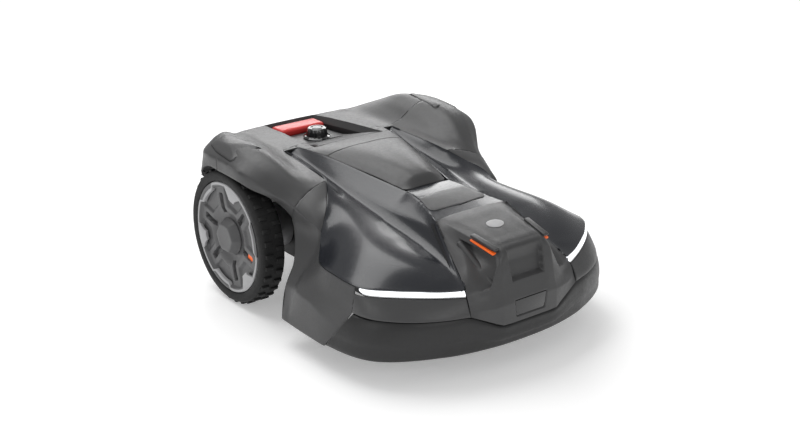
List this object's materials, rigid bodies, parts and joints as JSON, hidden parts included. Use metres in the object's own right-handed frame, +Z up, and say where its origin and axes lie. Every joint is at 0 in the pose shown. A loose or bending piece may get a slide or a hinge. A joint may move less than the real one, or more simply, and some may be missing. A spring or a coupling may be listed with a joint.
{
  "type": "robotic lawn mower",
  "caption": "Large robotic lawn mower: floating body over a chassis with driven rear wheels, front castors, height-adjustable bladed cutting disc, stop button and control dial.",
  "frame": {"origin": "on the ground under the middle of the overall length, on the centre plane", "axes": "+Z up, -Y towards the front of the mower, +X towards the mower's left side"},
  "size_m": [0.5721, 0.75, 0.3019],
  "materials": {
    "body_plastic": "satin grained, dark grey",
    "hood_gloss": "high gloss, dark blue-grey",
    "bumper_plastic": "fine matte grain, charcoal",
    "black_plastic": "matte black",
    "gloss_black": "gloss black",
    "lamp": "white diffusing lens",
    "orange": "satin orange",
    "red": "satin red",
    "silver": "satin silver paint",
    "tyre": "matte rubber",
    "rubber": "matte rubber",
    "steel": "bright brushed",
    "motor_metal": "satin",
    "brass": "plain",
    "board_green": "solder mask",
    "battery_blue": "shrink wrap"
  },
  "bodies": {
    "chassis": {"chassis_tub": "black_plastic", "lid_gasket": "rubber", "chassis_lid": "black_plastic", "lid_screws": "steel", "battery_pack": "battery_blue", "main_board": "board_green", "antenna_module": "black_plastic", "wheel_motor_left": "motor_metal", "wheel_motor_right": "motor_metal", "castor_bushes": "brass", "charging_contacts": "brass", "height_guide_posts": "steel", "height_motor": "motor_metal", "rear_foot": "rubber", "float_pins": "steel"},
    "shell_carriage": {"float_frame": "black_plastic"},
    "shell": {"body_shell": "body_plastic", "front_bumper": "bumper_plastic", "nose_module": "body_plastic", "central_hatch": "body_plastic", "front_hood": "hood_gloss", "headlights": "lamp", "nose_accents": "orange", "fender_pads": "bumper_plastic", "hood_plate": "black_plastic", "nose_window": "gloss_black", "nose_badge": "silver", "shell_posts": "black_plastic", "control_tray": "black_plastic", "status_window": "gloss_black", "tray_screws": "steel"},
    "stop": {"stop_button": "red"},
    "dial": {"jog_dial": "gloss_black"},
    "dial_push": {"dial_button": "silver"},
    "cutter": {"cutter_carrier": "black_plastic", "cutting_motor": "motor_metal"},
    "lift_screw": {"height_screw": "steel"},
    "disc": {"cutting_disc": "black_plastic", "cutter_shaft": "steel", "blade_screws": "steel"},
    "skid": {"skid_plate": "black_plastic"},
    "drive_wheel_left": {"tyre_left": "tyre", "wheel_disc_left": "black_plastic", "wheel_insert_left": "orange", "wheel_trim_left": "silver", "hub_cap_left": "black_plastic", "drive_shaft_left": "steel"},
    "castor_left": {"castor_fork_left": "black_plastic"},
    "castor_roller_left": {"castor_wheel_left": "rubber"},
    "drive_wheel_right": {"tyre_right": "tyre", "wheel_disc_right": "black_plastic", "wheel_insert_right": "orange", "wheel_trim_right": "silver", "hub_cap_right": "black_plastic", "drive_shaft_right": "steel"},
    "castor_right": {"castor_fork_right": "black_plastic"},
    "castor_roller_right": {"castor_wheel_right": "rubber"},
    "cutter_blade_1": {"blade_1": "steel"},
    "cutter_blade_2": {"blade_2": "steel"},
    "cutter_blade_3": {"blade_3": "steel"}
  },
  "joints": [
    {"name": "shell_bump", "type": "slide", "parent": "chassis", "child": "shell_carriage", "axis": [0, 1, 0], "range_m": [-0.004, 0.004], "stiffness_N_per_m": 4000},
    {"name": "shell_lift", "type": "slide", "parent": "shell_carriage", "child": "shell", "axis": [0, 0, 1], "range_m": [0, 0.006]},
    {"name": "stop_press", "type": "slide", "parent": "shell", "child": "stop", "axis": [0, 0, -1], "range_m": [0, 0.005], "stiffness_N_per_m": 600, "springref_m": -0.002},
    {"name": "dial_turn", "type": "hinge", "parent": "shell", "child": "dial", "pos_m": [0, 0.262, 0.25], "axis": [0, 0, 1], "continuous": true},
    {"name": "dial_click", "type": "slide", "parent": "dial", "child": "dial_push", "axis": [0, 0, -1], "range_m": [0, 0.0015], "stiffness_N_per_m": 600, "springref_m": -0.002},
    {"name": "wheel_left_spin", "type": "hinge", "parent": "chassis", "child": "drive_wheel_left", "pos_m": [0.243, 0.173, 0.13], "axis": [1, 0, 0], "continuous": true},
    {"name": "castor_left_swivel", "type": "hinge", "parent": "chassis", "child": "castor_left", "pos_m": [0.165, -0.225, 0.11], "axis": [0, 0, 1], "continuous": true},
    {"name": "castor_left_roll", "type": "hinge", "parent": "castor_left", "child": "castor_roller_left", "pos_m": [0.165, -0.205, 0.038], "axis": [1, 0, 0], "continuous": true},
    {"name": "wheel_right_spin", "type": "hinge", "parent": "chassis", "child": "drive_wheel_right", "pos_m": [-0.243, 0.173, 0.13], "axis": [1, 0, 0], "continuous": true},
    {"name": "castor_right_swivel", "type": "hinge", "parent": "chassis", "child": "castor_right", "pos_m": [-0.165, -0.225, 0.11], "axis": [0, 0, 1], "continuous": true},
    {"name": "castor_right_roll", "type": "hinge", "parent": "castor_right", "child": "castor_roller_right", "pos_m": [-0.165, -0.205, 0.038], "axis": [1, 0, 0], "continuous": true},
    {"name": "cut_height", "type": "slide", "parent": "chassis", "child": "cutter", "axis": [0, 0, 1], "range_m": [-0.02, 0.02]},
    {"name": "lift_screw_turn", "type": "hinge", "parent": "chassis", "child": "lift_screw", "pos_m": [0, 0.042, 0.11], "axis": [0, 0, 1], "range_deg": [-180, 180]},
    {"name": "disc_spin", "type": "hinge", "parent": "cutter", "child": "disc", "pos_m": [0, -0.02, 0.045], "axis": [0, 0, 1], "continuous": true},
    {"name": "skid_spin", "type": "hinge", "parent": "disc", "child": "skid", "pos_m": [0, -0.02, 0.036], "axis": [0, 0, 1], "continuous": true},
    {"name": "blade_1_swing", "type": "hinge", "parent": "disc", "child": "cutter_blade_1", "pos_m": [0, 0.064, 0.041], "axis": [0, 0, 1], "continuous": true},
    {"name": "blade_2_swing", "type": "hinge", "parent": "disc", "child": "cutter_blade_2", "pos_m": [-0.07275, -0.062, 0.041], "axis": [0, 0, 1], "continuous": true},
    {"name": "blade_3_swing", "type": "hinge", "parent": "disc", "child": "cutter_blade_3", "pos_m": [0.07275, -0.062, 0.041], "axis": [0, 0, 1], "continuous": true}
  ],
  "couplings": [
    {"joint": "lift_screw_turn", "follows": "cut_height", "rad_per_m": 157.08}
  ]
}
